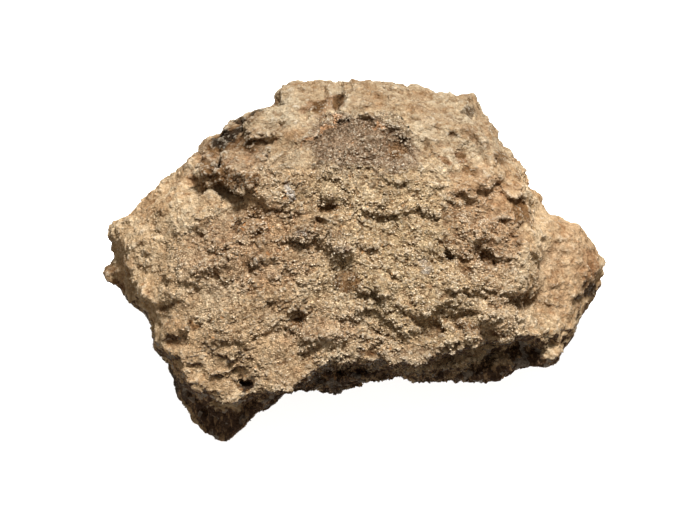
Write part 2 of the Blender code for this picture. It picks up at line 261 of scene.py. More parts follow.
# hollows: where, half sizes, turn in degrees, depth
hollows = {
    "shoulderCave": ((-23.6, 22.4), (3.2, 1.5), 36, 2.2),
    "shoulderCaveTip": ((-21.2, 25.6), (1.5, 0.9), 30, 1.4),
    "crownNick": ((-18.0, 28.2), (1.0, 0.6), 30, 1.2),
    "blockFacet": ((-19.8, 21.6), (2.4, 1.5), -30, 1.8),
    "shoulderCleft": ((-24.1, 17.8), (1.7, 0.6), -73, 3.2),
    "eaveLeft": ((-28.8, 14.6), (1.6, 0.6), -20, 1.4),
    "eaveRight": ((-22.0, 12.9), (2.2, 0.9), -30, 1.2),
    "beltPit": ((-14.6, 9.2), (1.5, 0.8), 0, 1.6),
    "beltPitLeft": ((-17.2, 9.9), (1.0, 0.5), 20, 0.9),
    "flakeFootLeft": ((2.6, 7.8), (0.7, 0.5), 0, 1.0),
    "nearFlake": ((14.6, 8.0), (1.3, 0.6), -10, 0.6),
    "knobFoot": ((-1.4, -2.6), (3.0, 1.6), -10, 0.5),
    "knobPit": ((-1.6, -4.8), (1.4, 0.9), 0, 1.2),
    "deepPit": ((-10.2, -11.0), (1.3, 0.9), -15, 3.8),
    "toeHollow": ((2.6, -16.6), (2.0, 0.8), -8, 1.6),
    "toeSlit": ((-5.6, -15.4), (3.4, 0.6), -6, 0.5),
    "lipHole": ((-20.2, -22.9), (1.8, 0.8), 4, 4.5),
    "leftSlot": ((-34.6, -8.5), (1.8, 0.6), 25, 1.5),
    "leftPit": ((-29.5, -11.8), (1.6, 0.7), -25, 2.4),
    "leftDish": ((-33.1, -15.0), (2.0, 0.9), 10, 1.4),
    "leftCrack": ((-19.8, -0.9), (1.5, 0.5), -55, 1.4),
    "plateauNickA": ((-21.4, 6.0), (1.4, 0.6), 15, 1.1),
    "plateauNickB": ((-17.6, 4.6), (1.7, 0.6), 20, 1.1),
    "plateauNickC": ((-14.2, 6.3), (1.1, 0.5), 5, 0.9),
    "plateauNickD": ((-25.6, -3.6), (1.6, 0.5), 22, 0.9),
    "rightPit": ((18.3, 3.6), (1.8, 0.6), -14, 1.8),
    "rightDishA": ((17.4, 1.0), (1.5, 0.8), -35, 1.5),
    "rightDishB": ((20.3, -0.9), (2.0, 0.7), -25, 1.2),
    "rightDishC": ((24.8, 0.6), (2.3, 0.9), -24, 1.7),
    "browHollow": ((27.8, 12.6), (1.3, 0.9), 5, 0.8),
    "browHollowLeft": ((22.6, 15.6), (1.0, 0.6), -40, 0.9),
    "sideCrack": ((31.2, 9.4), (3.4, 0.8), -50, 2.2),
    "cheekFacet": ((27.6, 19.4), (1.7, 1.6), 0, 1.6),
    "gullet": ((31.0, -7.2), (2.9, 1.6), 8, 1.2),
    "lowHollowA": ((21.3, -11.9), (2.7, 1.4), -20, 1.4),
    "lowHollowB": ((26.8, -13.4), (2.0, 0.7), -8, 1.6),
    "lowHollowC": ((15.3, -13.0), (2.1, 1.1), 14, 1.2),
    "dotA": ((19.9, 19.5), (0.9, 0.7), 0, 2.0),
    "dotB": ((17.2, 18.6), (0.8, 0.6), 0, 1.6),
    "dotC": ((9.8, -0.2), (0.5, 0.4), 0, 1.0),
    "crownScratch": ((13.6, 21.8), (0.5, 1.3), 10, 1.4),
    "crownHollowA": ((-6.4, 29.0), (2.0, 1.0), 25, 3.6),
    "crownHollowB": ((-2.8, 29.8), (0.9, 1.5), -25, 3.2),
    "noduleFoot": ((-4.5, 10.0), (2.1, 1.0), 0, 2.2),
    "crownStreak": ((21.8, 28.2), (1.4, 0.5), -45, 1.6),
    "crownPitA": ((19.8, 26.6), (1.0, 0.5), -10, 1.6),
    "crownPitB": ((18.4, 23.8), (0.9, 0.5), 10, 1.4),
    "crownPitC": ((11.6, 26.4), (1.3, 0.5), -15, 1.2),
    "browNotch": ((30.6, 15.8), (0.9, 0.7), 0, 1.8),
    "flankPit": ((30.3, 8.6), (1.0, 0.7), -20, 1.8),
    "browPit": ((21.6, 16.8), (1.8, 1.0), -15, 1.4),
    "crackFoot": ((30.8, 7.2), (1.4, 0.8), -20, 1.4),
    "scar": ((1.0, 21.6), (8.6, 4.2), -4, 1.6),
    "scarRight": ((8.0, 20.6), (2.2, 2.0), -40, 1.4),
    "knobGap": ((-43.6, -4.8), (0.7, 1.6), 20, 1.4),
}

# lumps: where, half sizes, turn in degrees, height
lumps = {
    "shoulderBlock": ((-27.2, 17.4), (2.9, 2.6), 20, 1.5),
    "shoulderFacet": ((-20.4, 16.2), (3.3, 3.0), 0, 1.1),
    "crestBlock": ((-17.6, 24.0), (4.2, 1.4), 10, 2.2),
    "crestChip": ((-13.6, 24.4), (1.6, 1.0), 20, 0.7),
    "noduleFloor": ((-4.4, 12.4), (2.4, 2.2), 0, 2.2),
    "caveRim": ((-26.3, 23.6), (3.8, 0.9), 45, 2.4),
    "kneeFillLeft": ((5.6, -8.6), (4.6, 1.3), -24, 0.9),
    "slitFill": ((26.8, -13.4), (2.4, 1.2), 0, 0.6),
    "leftFill": ((-30.0, -17.8), (2.6, 1.6), 0, 1.0),
    "lipFill": ((-24.4, -20.4), (2.6, 1.2), 0, 0.8),
    "slotFill": ((-35.4, -6.8), (3.0, 1.6), 20, 0.9),
    "kneeFill": ((9.4, -11.4), (4.0, 1.4), -20, 0.8),
    "gulletFill": ((24.6, -7.0), (3.2, 1.2), -5, 0.6),
    "leftRimFill": ((-37.6, -9.2), (1.8, 1.4), 0, 0.8),
    "browFill": ((25.6, 12.1), (6.5, 1.7), -8, 1.5),
    "lipRight": ((20.4, -18.9), (3.8, 1.4), 12, 1.6),
    "toeFill": ((-5.6, -16.4), (4.4, 1.3), -4, 1.0),
    "flankFill": ((-42.4, -7.0), (3.6, 4.8), -30, 2.2),
    "flakeFill": ((5.2, 6.8), (2.2, 0.8), -10, 0.7),
    "beltLump": ((-14.2, 10.9), (2.6, 0.8), 8, 0.8),
    "beltChip": ((-10.6, 14.6), (1.4, 0.8), -12, 0.7),
    "crystal": ((-11.6, 12.5), (0.7, 1.2), 12, 0.5),
    "knob": ((-1.9, 1.8), (1.9, 2.2), 10, 0.8),
    "knobLeft": ((-9.4, 4.9), (2.0, 1.1), 10, 0.6),
    "pinkBulge": ((-8.0, -13.0), (3.8, 1.7), 8, 0.9),
    "flakeLip": ((4.6, 8.7), (2.6, 0.6), -10, 0.8),
    "rightLumpA": ((20.6, 6.8), (2.0, 1.2), -10, 0.6),
    "rightLumpB": ((28.2, 4.6), (2.2, 1.3), 20, 0.7),
    "lowLumpA": ((18.0, -14.8), (1.6, 0.9), 0, 0.8),
    "lowLumpB": ((25.0, -9.0), (2.2, 1.0), -12, 0.8),
    "lipToothA": ((-12.6, -23.8), (1.6, 1.0), 0, 0.9),
    "lipToothB": ((8.6, -18.6), (1.8, 0.9), 10, 0.8),
    "innerSlab": ((28.2, -18.9), (2.4, 0.9), -14, 3.0),
    "bandChipA": ((-6.0, -22.6), (1.6, 0.9), 20, 1.2),
    "bandChipB": ((2.0, -21.6), (1.3, 0.8), -10, 1.1),
    "bandChipC": ((16.0, -20.6), (1.6, 0.9), 10, 1.2),
    "footRib": ((-27.0, -29.6), (1.0, 3.2), -28, 1.0),
    "footChip": ((-22.6, -28.2), (1.6, 1.0), 15, 1.1),
}

# small shifts along the face that bring its outline right: where, half sizes, shift across and up
nudges = {
    "shoulderRim": ((-28.9, 23.2), (4.0, 3.4), (1.3, -1.3)),
    "shoulderSpike": ((-28.4, 23.6), (1.5, 1.5), (1.3, -1.1)),
    "shoulderNotch": ((-27.2, 21.2), (1.5, 1.5), (-0.9, 0.9)),
    "shoulderTop": ((-19.7, 28.6), (4.6, 3.0), (-0.4, 0.9)),
    "crownCorner": ((-13.2, 32.6), (3.6, 3.2), (-1.0, 1.2)),
    "crownMiddle": ((8.0, 33.2), (6.0, 3.0), (0.0, 1.0)),
    "crownRight": ((21.6, 31.4), (4.4, 3.0), (0.2, 1.2)),
    "browRim": ((33.9, 16.4), (2.6, 3.6), (-0.7, -0.3)),
    "lobeNeck": ((35.4, 12.4), (2.6, 2.6), (0.6, 0.5)),
    "lobeTop": ((42.4, 7.6), (5.0, 3.0), (0.3, 0.6)),
    "lobeEnd": ((47.9, -4.8), (2.0, 3.2), (-0.7, 0.0)),
    "lobeFoot": ((43.0, -12.4), (2.8, 4.4), (0.8, -0.2)),
    "tipTop": ((-45.6, 8.0), (3.4, 3.6), (-0.8, 0.6)),
    "tipMiddle": ((-47.0, 1.9), (2.0, 2.6), (0.8, 0.0)),
    "leftFlank": ((-38.4, -16.2), (2.4, 4.0), (-0.7, 0.0)),
    "leftFoot": ((-36.2, -21.2), (2.4, 3.6), (0.8, 0.2)),
    "hollowFoot": ((-9.2, -26.2), (5.0, 2.6), (0.0, 0.7)),
    "toeFoot": ((5.2, -24.0), (5.4, 2.8), (0.0, 0.9)),
    "rightFoot": ((33.2, -21.4), (5.0, 2.6), (0.0, 0.8)),
}

# the lower edge of the outer face, which hangs over
lipLine = [
    (-38, -17), (-35.4, -20.8), (-32.4, -22.2), (-29.8, -24.8), (-27.0, -26.2), (-24, -27.4),
    (-21.4, -26.6), (-19.4, -24.6), (-17.0, -25.0), (-14.8, -24.0), (-12, -24.0), (-8.8, -21.8),
    (-6.6, -20.2), (-2.6, -19.4), (0, -18.8), (2.6, -20.0), (5.4, -19.6), (7.8, -20.4), (10.6, -21.2),
    (13.0, -20.8), (16.6, -20.2), (20.6, -20.0), (23.4, -18.4), (26.4, -16.6), (31.2, -14.8),
    (34.6, -16.6), (38, -20.2),
]

# ledges: height, how far back the top fades, and the line, walked with the high side left
ledges = {
    "lipEdge": (1.0, 3.4, lipLine),
    "eave": (1.2, 4.0, [
        (-31.0, 16.2), (-29.5, 15.3), (-27.4, 14.2), (-24.5, 14.6), (-22.2, 13.0), (-19.8, 11.8)]),
    "eaveAbove": (0.8, 2.0, [(-24.2, 18.6), (-21.4, 20.0), (-17.6, 20.4), (-14.2, 21.6)]),
    "facetTop": (0.4, 1.8, [
        (-11.4, 20.4), (-8.8, 22.4), (-5.0, 24.6), (-1.2, 26.8), (1.2, 27.0), (4.6, 26.0), (7.0, 24.6),
        (9.0, 22.4), (10.4, 20.4), (12.6, 18.0)]),
    "kneeRidge": (0.5, 3.2, [
        (-1.4, -5.4), (1.8, -5.6), (4.8, -6.3), (7.2, -7.6), (8.8, -9.2), (11.3, -10.0), (14.8, -9.6),
        (18.4, -8.8)]),
    "toeLedge": (0.5, 2.6, [(-10.6, -13.6), (-9.0, -15.0), (-5.6, -15.7), (-2.3, -14.9), (-0.6, -13.4)]),
    "rightCrack": (0.5, 2.4, [
        (22.8, 2.2), (25.2, 0.6), (27.2, 0.4), (30.1, -0.2), (31.6, 1.2), (34.2, 2.2)]),
    "browLedge": (0.25, 3.0, [(20.6, 12.6), (22.8, 13.6), (25.6, 14.4), (27.6, 13.6), (29.8, 13.2)]),
    "lowLedge": (0.45, 3.0, [
        (17.4, -9.6), (19.6, -9.8), (22.6, -10.2), (25.0, -12.0), (27.6, -12.2), (31.0, -13.0)]),
    "plateauLedgeA": (0.2, 2.6, [
        (-40, -4.4), (-36, -3.0), (-33, -1.6), (-30.6, -1.2), (-27.0, 0.8), (-23.6, 1.6)]),
    "plateauLedgeB": (0.25, 2.4, [(-28.4, -6.0), (-25.6, -4.8), (-22.4, -3.8), (-19.6, -1.6)]),
    "plateauLedgeC": (0.4, 2.4, [
        (-33.4, 4.0), (-29.4, 5.2), (-26.0, 5.2), (-22.6, 7.4), (-19.0, 7.4), (-15.6, 6.6)]),
    "plateauLedgeD": (0.3, 2.4, [(-24.0, -12.4), (-20.4, -11.2), (-17.6, -11.0), (-14.6, -9.0)]),
    "plateauLedgeE": (0.4, 2.2, [(-38.4, 9.0), (-35.0, 9.4), (-32.0, 11.0), (-29.2, 11.2)]),
    "centreLedge": (0.45, 2.4, [(2.6, 1.6), (5.2, 3.0), (7.6, 2.6), (10.4, 3.2), (13.4, 4.4)]),
    "slabLedge": (0.4, 2.6, [(11.6, -2.8), (14.2, -4.0), (17.6, -5.0), (20.8, -4.6), (24.2, -5.6)]),
    "upperStepA": (0.6, 2.2, [(12.4, 14.6), (15.8, 13.6), (19.0, 14.0), (21.6, 12.4)]),
    "upperStepB": (0.4, 2.2, [(16.4, 24.6), (20.0, 23.0), (23.2, 23.4), (26.0, 21.8)]),
    "sideStep": (0.7, 2.2, [(26.6, 8.2), (28.4, 7.6), (30.6, 5.4), (32.4, 5.0)]),
}

nodule = {"at": (-4.4, 12.6), "half": (1.75, 1.85), "high": 2.5, "foot": 0.6, "droop": 0.12}  # a round knob


def carve(points, ways):
    onFace = ease((ways @ outWay + 0.35) / 0.5) * ease((facePlaces(points)[2] + 34) / 8)
    a, u, o = frayedPlaces(points, horn["frays"])
    push = np.zeros(len(points))
    for at, half, turn, deep in hollows.values():
        push -= horn["hollowDepth"] * deep * dab(a, u, at, half, turn, 1.2, 0.6)
    for at, half, turn, high in lumps.values():
        push += high * dab(a, u, at, half, turn, 1.25, 0.6)
    for high, back, line in ledges.values():
        distance, side, along = lineDistance(a, u, line)
        signed = distance * side
        ends = ease(np.minimum(along, 1 - along) / 0.12)
        top = high * ease(1 - signed / back)
        foot = -horn["ledgeFoot"] * high * ease(1 + signed / (0.7 * back))
        width = 0.5 if high > 0.55 else 0.9  # high ledges are the sharper ones
        push += ends * np.where(distance < back, foot + (top - foot) * ease(0.5 + signed / width), 0)
    move = outWay - horn["overhang"] * upWay
    return points + (push * onFace)[:, None] * move * mm


def addNodule(points):
    a, u, o = facePlaces(points)
    r = ovalDistance(a, u, nodule["at"], nodule["half"], 0)
    base = np.median(o[(r > 1.2) & (r < 1.7) & (o > -20)])
    near = o > base - 5
    top = base + nodule["high"] * np.sqrt(np.clip(1 - r * r, 0, 1))
    push = np.where(near & (r < 1), top - o, 0)
    push -= nodule["foot"] * near * (r >= 1) * ease((1.6 - r) / 0.5)
    return points + push[:, None] * (outWay - nodule["droop"] * upWay) * mm


def nudge(points):
    a, u, o = facePlaces(points)
    for at, half, (across, up) in nudges.values():
        share = dab(a, u, at, half, 0, 1.4)[:, None]
        points = points + share * (across * acrossWay + up * upWay) * mm
    return points


# rough relief
relief = {
    # size, height, kind, and its share where the crust is worn and where it is sharp
    "layers": [
        (9.0, 0.60, "smooth", 1.0, 1.0), (6.5, 0.70, "broken", 0.9, 0.9),
        (3.4, 0.48, "broken", 0.8, 0.95), (2.4, 0.36, "creased", 0.6, 1.0),
        (1.8, 0.30, "broken", 0.8, 1.1), (1.6, 0.22, "smooth", 1.7, 0.9),
        (1.3, 0.27, "creased", 0.4, 1.0), (0.9, 0.20, "smooth", 1.6, 1.0),
    ],
    "drawnOut": 0.3,
    "droop": 0.22,
    "setBack": 0.35,  # keeps the outline where it was
    # where it is broken more, or less: place, half sizes, turn, how much more
    "rubble": [
        ((-20, 20), (11, 6.5), 25, 1.3), ((24, 4), (8, 11), 0, 0.6), ((20, -11), (12, 4), -10, 0.7),
        ((-7, 28), (4, 3), 20, 1.0), ((-14, 8), (6, 3), 10, 0.5), ((8, 27), (22, 5), -5, 0.3),
        ((-4.4, 12.5), (2.6, 2.6), 0, -0.85), ((-33, -9), (9, 13), 0, -0.5),
        ((-20, -19), (11, 5), 0, -0.45), ((-39, 5), (8, 8), 0, -0.45), ((42, -2), (8, 12), 0, -0.4),
        ((26.4, -7.4), (1.8, 1.6), 0, -0.7),
    ],
    "shelfSize": 4.6,
    "shelfHeight": 0.5,
    # the crisp middle of the outer face and its bare facet: place, half sizes, turn; the rest is worn
    "crispMiddle": ((-1, -5), (34, 25), -6),
    "crispFacet": ((1.5, 22.5), (9.5, 5.0), -6),
}


def brokenFaces(points, size, seed):  # every piece of a cracked rock has its own height and slope
    shift = fray(points, 0.6 * size, 0.28 * size, seed)
    seen = points / (size * mm) + seed
    seen[:, 0] += shift[0] / size
    seen[:, 2] += shift[1] / size
    heights = np.empty(len(points))
    for step, place in enumerate(map(Vector, seen.tolist())):
        middle = noise.voronoi(place)[1][0]
        slope = noise.cell_vector(middle * 19.0)
        away = place - middle
        tilt = away.x * (slope.y - 0.5) + away.z * (slope.z - 0.5) + away.y * (slope.x - 0.5)
        heights[step] = slope.x - 0.5 + 1.5 * tilt
    return 1.6 * heights


def crispPart(points):  # 1 in the crisp middle of the outer face, 0 away from it
    a, u, o = facePlaces(points)
    a, u = a + 3.0 * swell(points, 6.0, 91.0), u + 3.0 * swell(points, 6.0, 95.0)
    crisp = dab(a, u, *relief["crispMiddle"], 1.25, 0.6)
    return np.maximum(crisp, dab(a, u, *relief["crispFacet"], 1.3, 0.4))


def sharpness(points, ways):  # 1 where the crust is crisp, 0 where it is worn smooth
    a, u, o = facePlaces(points)
    distance, side, along = lineDistance(a, u, lipLine)
    below = 0.5 * ease(-distance * side / 1.5)
    crisp = np.maximum(0.15 + 0.85 * crispPart(points), below)
    return np.where(ways @ outWay > -0.2, crisp, 0.6)


def bedding(points):  # draws places out along the beds, which rise on the left and fall on the right
    a, u, o = facePlaces(points)
    right = ease((a + 6) / 8)[:, None]
    beds = acrossWay * 0.93 + upWay * (0.36 * (1 - right) - 0.34 * right)
    return points - relief["drawnOut"] * (points * beds).sum(1)[:, None] * beds


def roughen(points, ways):
    drawn, crisp = bedding(points), sharpness(points, ways)
    a, u, o = facePlaces(points)
    rubble = np.ones(len(points))
    for at, half, turn, more in relief["rubble"]:
        rubble += more * dab(a, u, at, half, turn, 1.3, 0.5) * (ways @ outWay > -0.2)
    push = np.zeros(len(points))
    for step, (size, height, kind, worn, sharp) in enumerate(relief["layers"]):
        if kind == "broken":
            wave = rubble * brokenFaces(drawn, size, 7.3 * step)
        else:
            wave = swell(drawn, size, 7.3 * step)
            wave = 0.5 - 2.2 * np.abs(wave) if kind == "creased" else 1.5 * wave
        push += height * wave * (worn + (sharp - worn) * crisp)
    push = push * (1 - horn["underQuiet"] * ease(0.2 - ways[:, 2])) - relief["setBack"]
    drop = np.array((0.0, 0.0, -relief["droop"])) * ease(0.6 + ways[:, 2:])
    return points + (ways + drop) * push[:, None] * mm


def shelve(points, ways):  # thin beds of stone that end one after the other
    a, u, o = facePlaces(points)
    lean = np.where(a < -2, 0.30, -0.36)
    bed = u - lean * (a + 2) + 2.6 * swell(points, 9.0, 3.1) + 0.8 * swell(points, 3.2, 9.9)
    saw = (bed / relief["shelfSize"]) % 1.0
    shelf = np.where(saw < 0.12, 1 - saw / 0.12, (saw - 0.12) / 0.88)
    strength = ease(0.4 + 1.8 * swell(points, 9.0, 17.0)) * ease((ways @ outWay + 0.2) / 0.6)
    push = -strength * (shelf - 0.5) * relief["shelfHeight"]
    return points + push[:, None] * (outWay - horn["overhang"] * upWay) * mm


# finer sheets lie on the outer face: one on its crisp middle and one on its worn edge, each in two parts
sheet = {
    "names": ("face_left", "face_right", "edge_left", "edge_right"),
    "middle": -2.0,  # where the left one meets the right one, across
    "wander": 3.0,  # how far that line wanders
    "overlap": 1.4,
    "reach": 0.30,  # where a sheet ends, as a value of its zone
    "dip": 0.6,  # its rim goes that far down into the horn
    "lowered": 0.8,  # the horn's own surface is that far below it
    "lift": 0.05,
    "wornShare": 0.45,
    # quieter places: where, half sizes, how much quieter
    "calm": [((-4.4, 12.6), (1.5, 1.6), 0.55), ((-24, -14), (14, 10), 0.3), ((42, -3), (7, 12), 0.5)],
    # crumbs: size, height, kind
    "layers": [(1.5, 0.26, "smooth"), (0.95, 0.26, "curdled"), (0.62, 0.31, "curdled"),
        (0.42, 0.33, "smooth")],
}


def markSheets(mesh):
    points = coordinates(mesh)
    crisp = crispPart(points)
    front = neighbourMean(mesh, normals(mesh) @ outWay, 40)
    zones = {
        "face": crisp * ease((front + 0.3) / 0.3),
        "edge": ease((0.75 - crisp) / 0.3) * ease((front + 0.15) / 0.4),
    }
    wander = sheet["wander"] * swell(points, 6.0, 171.0)
    right = (facePlaces(points)[0] + wander - sheet["middle"]) / sheet["overlap"]
    for name, zone in zones.items():
        keepValues(mesh, name + "_left", np.minimum(zone, ease(1 - right)))
        keepValues(mesh, name + "_right", np.minimum(zone, ease(1 + right)))


def widestZone(mesh):  # how surely a place lies under a sheet
    return np.max([readValues(mesh, name) for name in sheet["names"]], 0)


def calmness(points):  # 0 where crumbs and grains are as usual, 1 where there are none
    a, u, o = facePlaces(points)
    calm = np.zeros(len(points))
    for at, half, share in sheet["calm"]:
        calm = np.maximum(calm, share * dab(a, u, at, half, 0, 1.4, 0.5))
    return calm


def curdle(points, ways, strength):  # crumbs with creases between them
    drawn = bedding(points)
    amount = strength * ease(0.75 + 1.1 * swell(points, 3.6, 131.0)) * (1 - calmness(points))
    push = np.zeros(len(points))
    for step, (size, height, kind) in enumerate(sheet["layers"]):
        wave = swell(drawn, size, 141.0 + 7.3 * step)
        push += height * (2.6 * np.abs(wave) - 0.5 if kind == "curdled" else 1.5 * wave)
    return points + (ways + np.array((0.0, 0.0, -0.3))) * (push * amount)[:, None] * mm


def makeSheet(name, whole):
    piece = addPiece(name, whole.data)
    shell = bmesh.new()
    shell.from_mesh(piece.data)
    zone = readValues(piece.data, name)
    outside = [vert for vert, value in zip(shell.verts, zone) if value < sheet["reach"]]
    bmesh.ops.delete(shell, geom=outside, context="VERTS")
    shell.to_mesh(piece.data)
    shell.free()
    keepOuter(piece.data)
    applyModifier(piece, "SUBSURF", levels=1, subdivision_type="SIMPLE")
    applyModifier(piece, "SMOOTH", factor=0.5, iterations=1)
    points, ways = coordinates(piece.data), normals(piece.data)
    zone = readValues(piece.data, name)
    strength = ease((zone - sheet["reach"] - 0.04) / 0.2)
    strength *= sheet["wornShare"] + (1 - sheet["wornShare"]) * crispPart(points)
    rim = 1 - ease((zone - sheet["reach"]) / 0.12)
    points = curdle(points, ways, strength)
    setCoordinates(piece.data, points + (sheet["lift"] - sheet["dip"] * rim)[:, None] * ways * mm)
    before = countTriangles(piece.data)
    applyModifier(piece, "DECIMATE", ratio=min(1.0, horn["triangles"] / before))
    piece.data.shade_smooth()
    print(name, "thinned from", before, "to", countTriangles(piece.data), "triangles")
    return piece


def copyOfNode(name, node):
    piece = addPiece(name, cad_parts[node].data)
    piece.data.materials.clear()
    bpy.ops.object.select_all(action="DESELECT")
    piece.select_set(True)
    bpy.context.view_layer.objects.active = piece
    bpy.ops.object.mode_set(mode="EDIT")
    bpy.ops.mesh.select_all(action="SELECT")
    bpy.ops.mesh.remove_doubles(threshold=0.000002)
    bpy.ops.object.mode_set(mode="OBJECT")
    return piece


def remeshEvenly(piece, voxel, factor, times):
    applyModifier(piece, "REMESH", mode="VOXEL", voxel_size=voxel * mm)
    applyModifier(piece, "SMOOTH", factor=factor, iterations=times)
    return piece.data


def keepOuter(mesh):  # takes out sealed pockets and loose crumbs
    shell = bmesh.new()
    shell.from_mesh(mesh)
    left, largest = set(shell.verts), set()
    while left:
        island = {left.pop()}
        rim = list(island)
        while rim:
            near = {edge.other_vert(vert) for vert in rim for edge in vert.link_edges}
            rim = list(near - island)
            island |= near
        left -= island
        largest = max(largest, island, key=len)
    bmesh.ops.delete(shell, geom=[vert for vert in shell.verts if vert not in largest], context="VERTS")
    shell.to_mesh(mesh)
    shell.free()


def thinOut(piece, hidden):  # fewer faces on the back and under the sheets than on the rest
    mesh = piece.data
    front = ease((normals(mesh) @ outWay + 0.3) / 0.4) * (facePlaces(coordinates(mesh))[2] > -30)
    thin = (front < 0.5) | hidden
    group = piece.vertex_groups.new(name="thin")
    group.add(np.nonzero(thin)[0].tolist(), 1.0, "REPLACE")
    group.add(np.nonzero(~thin)[0].tolist(), 0.0, "REPLACE")
    before = countTriangles(mesh)
    share = min(1.0, horn["hiddenShare"] * horn["triangles"] / before)
    applyModifier(piece, "DECIMATE", ratio=share, vertex_group="thin")
    piece.vertex_groups.clear()
    applyModifier(piece, "DECIMATE", ratio=min(1.0, horn["triangles"] / countTriangles(piece.data)))
    print(piece.name, "thinned from", before, "to", countTriangles(piece.data), "triangles")


def makeHorn():
    piece = copyOfNode("horn_crust", "cheek_horn")
    mesh = remeshEvenly(piece, horn["firstVoxel"], 0.5, horn["softening"])
    setCoordinates(mesh, nudge(carve(coordinates(mesh), normals(mesh))))
    mesh = remeshEvenly(piece, horn["lastVoxel"], 0.5, 2)
    setCoordinates(mesh, shelve(coordinates(mesh), normals(mesh)))
    setCoordinates(mesh, addNodule(roughen(coordinates(mesh), normals(mesh))))
    mesh = remeshEvenly(piece, horn["lastVoxel"], 0.3, 1)
    keepOuter(mesh)
    points = coordinates(mesh)
    points[:, 2] = np.maximum(points[:, 2], 0.0)
    setCoordinates(mesh, points)
    markSheets(mesh)
    print("horn shaped")
    sheets = [makeSheet(name, piece) for name in sheet["names"]]
    lowered = sheet["lowered"] * ease((widestZone(mesh) - sheet["reach"] - 0.12) / 0.2)
    setCoordinates(mesh, points - lowered[:, None] * normals(mesh) * mm)
    thinOut(piece, lowered > 0.9 * sheet["lowered"])
    piece.data.shade_smooth()
    return piece, sheets


hornPiece, sheetPieces = makeHorn()
crustPieces = [hornPiece, *sheetPieces]

# masks painted on the crust, each a set of dabs: place, half sizes, turn, strength
dabs = {
    "yellow": [((6, 4), (17, 13), 0, 0.5), ((12, -7), (12, 8), -15, 0.5), ((-3, 10), (11, 6), 20, 0.5)],
    "amber": [
        ((-26, -18), (12, 6), 12, 0.45), ((-35, -10), (6, 8), 20, 0.4), ((-41, 6), (6, 8), 30, 0.3),
        ((-14, -20), (9, 3), 10, 0.4), ((30, 20), (4, 10), 35, 0.35), ((42, -3), (5, 10), 0, 0.3)],
    # partly brown stone, partly painted shade on facets that face down, in the crown's hollows and on the
    # right flank
    "brown": [
        ((-17, 3), (15, 8), 12, 0.55), ((-22.5, 20.0), (6.5, 5.5), 20, 0.6), ((-12, -9), (12, 7), 0, 0.3),
        ((24, 8), (8, 10), 0, 0.62), ((22, -4), (8, 6), 0, 0.35), ((-26, 14.8), (5, 2.0), -15, 0.55),
        ((-18.6, 20.6), (2.8, 1.0), -10, 0.55), ((-21, 15.0), (3.6, 2.2), 0, 0.5),
        ((-6, -13), (7, 3), 0, 0.5), ((27.6, 19.2), (1.7, 1.5), 0, 0.5),
        ((-5.6, 29.2), (3.8, 1.7), 10, 0.8), ((21.6, 16.8), (2.2, 1.2), -15, 0.6),
        ((19.9, 19.5), (1.0, 0.8), 0, 0.9), ((17.2, 18.6), (0.9, 0.7), 0, 0.8),
        ((28, 8), (2.4, 4.0), 20, 0.5), ((-17, 30.5), (1.6, 1.2), 0, 0.5),
        ((44.6, -1.5), (1.8, 4.0), -10, 0.7), ((36.5, 2), (1.6, 8), 4, 0.35),
        ((40.5, 0), (6, 10), -8, 0.55), ((15, 27.5), (5, 2.4), -15, 0.4), ((24, 24), (3, 3.4), -50, 0.45),
        ((20, 20), (2.4, 1.6), 0, 0.4), ((32, 9), (3.4, 1.4), -50, 0.5), ((31, -7), (3.4, 1.8), 0, 0.5),
        ((21, -12), (3.4, 1.6), -20, 0.5)],
    "grey": [
        ((0.6, 22.4), (8.6, 4.4), 0, 0.95), ((6.4, 20.4), (5, 3.6), -20, 0.9),
        ((-9.0, 5.0), (2.4, 1.2), 10, 0.6), ((-2.6, 3.0), (2.2, 2.6), 0, 0.5),
        ((12.6, -1.0), (1.8, 1.6), 0, 0.4), ((-18, 0.5), (1.4, 1), 0, 0.4), ((12, -17), (9, 2), 0, 0.45),
        ((-13, -22), (5, 1.6), 10, 0.4)],
    "rust": [
        ((-6.6, 23.8), (3.6, 0.35), 33, 0.9), ((-2.6, 26.4), (2.4, 0.35), 24, 0.7),
        ((1.6, 27.0), (2.4, 0.3), -8, 0.5), ((5.2, 25.0), (0.8, 0.5), -20, 1.0),
        ((-1.3, 1.9), (0.5, 0.4), 0, 1.0), ((-4.4, -13.4), (2.6, 1.0), 0, 0.4),
        ((-9, -14.6), (2.4, 0.8), 10, 0.35)],
    # whitish stone; the dab on the inner slab below the lip is painted light
    "pale": [
        ((-11.6, 12.9), (0.8, 1.3), 12, 0.6), ((-2.3, 2.6), (1.2, 1.6), 0, 0.4),
        ((-9.4, 5.2), (1.2, 0.5), 10, 0.4), ((-18.2, 0.4), (0.5, 0.6), 0, 0.6),
        ((28.2, -18.9), (2.2, 0.8), -14, 0.4), ((12.8, -0.6), (0.9, 0.8), 0, 0.5)],
    # painted shade in the shoulder cave, the lip hole, the crown's pits and under edges, on stone that is
    # partly dark itself
    "dark": [
        ((-24.1, 22.9), (3.3, 1.2), 38, 1.0), ((-21.2, 26.0), (1.4, 0.8), 30, 0.8),
        ((-18, 28.2), (1.0, 0.6), 25, 0.8), ((-36.6, -18.4), (1.0, 2.2), 28, 1.0),
        ((-34.0, -22.4), (1.6, 2.4), 38, 0.8), ((-20.2, -22.9), (1.5, 0.7), 0, 1.0),
        ((9.4, 22.2), (1.0, 2.2), 35, 0.45), ((21.8, 28.2), (1.6, 0.8), -45, 0.7),
        ((44.4, -5.4), (1.4, 1.6), 0, 0.8)],
}
